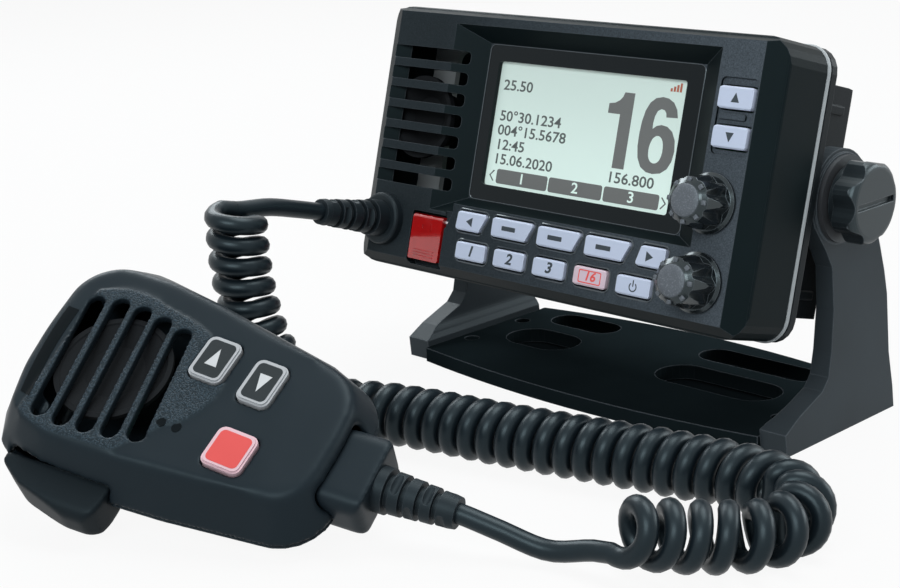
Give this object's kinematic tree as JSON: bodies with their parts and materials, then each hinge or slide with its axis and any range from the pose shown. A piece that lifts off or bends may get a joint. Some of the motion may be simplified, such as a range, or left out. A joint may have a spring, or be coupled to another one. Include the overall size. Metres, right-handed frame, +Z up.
{
  "type": "vhf marine radio",
  "caption": "Bracket-mounted marine radio with display, keys, two rotary controls, tilting bracket and a fist microphone on a curly cord.",
  "frame": {"origin": "centre of the four base screw holes, on the underside of the bracket", "axes": "+Z up, +X to the right seen from the front, +Y to the back of the radio"},
  "size_m": [0.2312, 0.2627, 0.1299],
  "materials": {
    "bracket_plastic": "satin black moulded plastic",
    "case_plastic": "fine-grained black plastic",
    "cast_case": "black powder coat on a die-cast case",
    "knob_plastic": "black plastic",
    "washer_nylon": "black nylon",
    "steel": "plain stainless steel",
    "gasket_rubber": "light grey rubber",
    "lens_gloss": "glossy black window with a clear middle",
    "lcd_glass": "pale green-white display",
    "board": "green circuit board",
    "speaker_cone": "black paper cone in a steel basket",
    "brass": "plain brass",
    "black_rubber": "matte black rubber",
    "key_plastic": "pale blue-white key with a clear edge",
    "red_clear": "clear red plastic",
    "red_key": "red key",
    "mic_plastic": "slate-black soft-touch plastic",
    "mic_key_grey": "light grey key with a dark inlay",
    "talk_rubber": "ribbed black rubber",
    "cord_rubber": "matte black-blue rubber jacket"
  },
  "bodies": {
    "root": {"bracket_base": "bracket_plastic", "bracket_arm_left": "bracket_plastic", "bracket_arm_right": "bracket_plastic", "outer_washers": "washer_nylon", "mic_front_shell": "mic_plastic", "mic_back_shell": "mic_plastic", "mic_seal": "black_rubber", "mic_board": "board", "mic_speaker": "speaker_cone", "mic_screws": "steel", "hang_stud": "steel", "cord_block": "cord_rubber", "mic_strain_relief": "cord_rubber", "cord_lead": "cord_rubber", "curly_cord": "cord_rubber", "cord_tail": "cord_rubber"},
    "tilt_knob_left": {"tilt_knob_left": "knob_plastic", "knob_stud_left": "steel"},
    "tilt_knob_right": {"tilt_knob_right": "knob_plastic", "knob_stud_right": "steel"},
    "channel_dial": {"channel_knob": "knob_plastic", "channel_shaft": "steel"},
    "volume_dial": {"volume_knob": "knob_plastic", "volume_shaft": "steel"},
    "distress_cover": {"distress_cover": "red_clear"},
    "distress_button": {"distress_button": "red_key"},
    "talk_bar": {"talk_bar": "talk_rubber"},
    "up_key": {"up_key": "key_plastic"},
    "down_key": {"down_key": "key_plastic"},
    "left_key": {"left_key": "key_plastic"},
    "soft_key_1": {"soft_key_1": "key_plastic"},
    "soft_key_2": {"soft_key_2": "key_plastic"},
    "soft_key_3": {"soft_key_3": "key_plastic"},
    "right_key": {"right_key": "key_plastic"},
    "menu_key_1": {"menu_key_1": "key_plastic"},
    "menu_key_2": {"menu_key_2": "key_plastic"},
    "menu_key_3": {"menu_key_3": "key_plastic"},
    "calling_key": {"calling_key": "key_plastic"},
    "power_key": {"power_key": "key_plastic"},
    "mic_up_key": {"mic_up_key": "mic_key_grey"},
    "mic_down_key": {"mic_down_key": "mic_key_grey"},
    "mic_red_key": {"mic_red_key": "red_key"},
    "radio": {"front_bezel": "case_plastic", "gasket": "gasket_rubber", "rear_case": "cast_case", "case_screws": "steel", "lens": "lens_gloss", "lcd_module": "lcd_glass", "main_board": "board", "key_board": "board", "speaker": "speaker_cone", "pivot_inserts": "brass", "inner_washers": "washer_nylon", "aerial_socket": "steel", "power_gland": "black_rubber", "cover_pin": "steel", "cord_gland": "cord_rubber", "radio_strain_relief": "cord_rubber"}
  },
  "joints": [
    {"name": "tilt_knob_left_turn", "type": "hinge", "parent": "root", "child": "tilt_knob_left", "pos_m": [-0.09, -0.0022, 0.0768], "axis": [1, 0, 0], "continuous": true},
    {"name": "tilt_knob_right_turn", "type": "hinge", "parent": "root", "child": "tilt_knob_right", "pos_m": [0.09, -0.0022, 0.0768], "axis": [1, 0, 0], "continuous": true},
    {"name": "radio_tilt", "type": "hinge", "parent": "root", "child": "radio", "pos_m": [0, -0.0022, 0.0768], "axis": [1, 0, 0], "range_deg": [-20, 25], "deforming": ["cord_lead"]},
    {"name": "channel_turn", "type": "hinge", "parent": "radio", "child": "channel_dial", "pos_m": [0.0665, -0.05335, 0.0832], "axis": [0, -0.9636, 0.2672], "continuous": true},
    {"name": "volume_turn", "type": "hinge", "parent": "radio", "child": "volume_dial", "pos_m": [0.0663, -0.05976, 0.06008], "axis": [0, -0.9636, 0.2672], "range_deg": [-150, 150]},
    {"name": "up_key_press", "type": "slide", "parent": "radio", "child": "up_key", "axis": [0, 0.9636, -0.2672], "range_m": [0, 0.0008], "stiffness_N_per_m": 400},
    {"name": "down_key_press", "type": "slide", "parent": "radio", "child": "down_key", "axis": [0, 0.9636, -0.2672], "range_m": [0, 0.0008], "stiffness_N_per_m": 400},
    {"name": "left_key_press", "type": "slide", "parent": "radio", "child": "left_key", "axis": [0, 0.9636, -0.2672], "range_m": [0, 0.0008], "stiffness_N_per_m": 400},
    {"name": "soft_key_1_press", "type": "slide", "parent": "radio", "child": "soft_key_1", "axis": [0, 0.9636, -0.2672], "range_m": [0, 0.0008], "stiffness_N_per_m": 400},
    {"name": "soft_key_2_press", "type": "slide", "parent": "radio", "child": "soft_key_2", "axis": [0, 0.9636, -0.2672], "range_m": [0, 0.0008], "stiffness_N_per_m": 400},
    {"name": "soft_key_3_press", "type": "slide", "parent": "radio", "child": "soft_key_3", "axis": [0, 0.9636, -0.2672], "range_m": [0, 0.0008], "stiffness_N_per_m": 400},
    {"name": "right_key_press", "type": "slide", "parent": "radio", "child": "right_key", "axis": [0, 0.9636, -0.2672], "range_m": [0, 0.0008], "stiffness_N_per_m": 400},
    {"name": "menu_key_1_press", "type": "slide", "parent": "radio", "child": "menu_key_1", "axis": [0, 0.9636, -0.2672], "range_m": [0, 0.0008], "stiffness_N_per_m": 400},
    {"name": "menu_key_2_press", "type": "slide", "parent": "radio", "child": "menu_key_2", "axis": [0, 0.9636, -0.2672], "range_m": [0, 0.0008], "stiffness_N_per_m": 400},
    {"name": "menu_key_3_press", "type": "slide", "parent": "radio", "child": "menu_key_3", "axis": [0, 0.9636, -0.2672], "range_m": [0, 0.0008], "stiffness_N_per_m": 400},
    {"name": "calling_key_press", "type": "slide", "parent": "radio", "child": "calling_key", "axis": [0, 0.9636, -0.2672], "range_m": [0, 0.0008], "stiffness_N_per_m": 400},
    {"name": "power_key_press", "type": "slide", "parent": "radio", "child": "power_key", "axis": [0, 0.9636, -0.2672], "range_m": [0, 0.0008], "stiffness_N_per_m": 400},
    {"name": "distress_cover_lift", "type": "hinge", "parent": "radio", "child": "distress_cover", "pos_m": [-0.049, -0.05183, 0.06099], "axis": [-1, 0, 0], "range_deg": [0, 95], "stiffness_Nm_per_rad": 0.004},
    {"name": "distress_press", "type": "slide", "parent": "radio", "child": "distress_button", "axis": [0, 0.9636, -0.2672], "range_m": [0, 0.0008], "stiffness_N_per_m": 400},
    {"name": "talk_press", "type": "slide", "parent": "root", "child": "talk_bar", "axis": [-0.2087, 0.8067, 0.5528], "range_m": [0, 0.002], "stiffness_N_per_m": 300},
    {"name": "mic_up_key_press", "type": "slide", "parent": "root", "child": "mic_up_key", "axis": [-0.3449, 0.4683, -0.8135], "range_m": [0, 0.0008], "stiffness_N_per_m": 400},
    {"name": "mic_down_key_press", "type": "slide", "parent": "root", "child": "mic_down_key", "axis": [-0.3449, 0.4683, -0.8135], "range_m": [0, 0.0008], "stiffness_N_per_m": 400},
    {"name": "mic_red_key_press", "type": "slide", "parent": "root", "child": "mic_red_key", "axis": [-0.3449, 0.4683, -0.8135], "range_m": [0, 0.0008], "stiffness_N_per_m": 400}
  ]
}
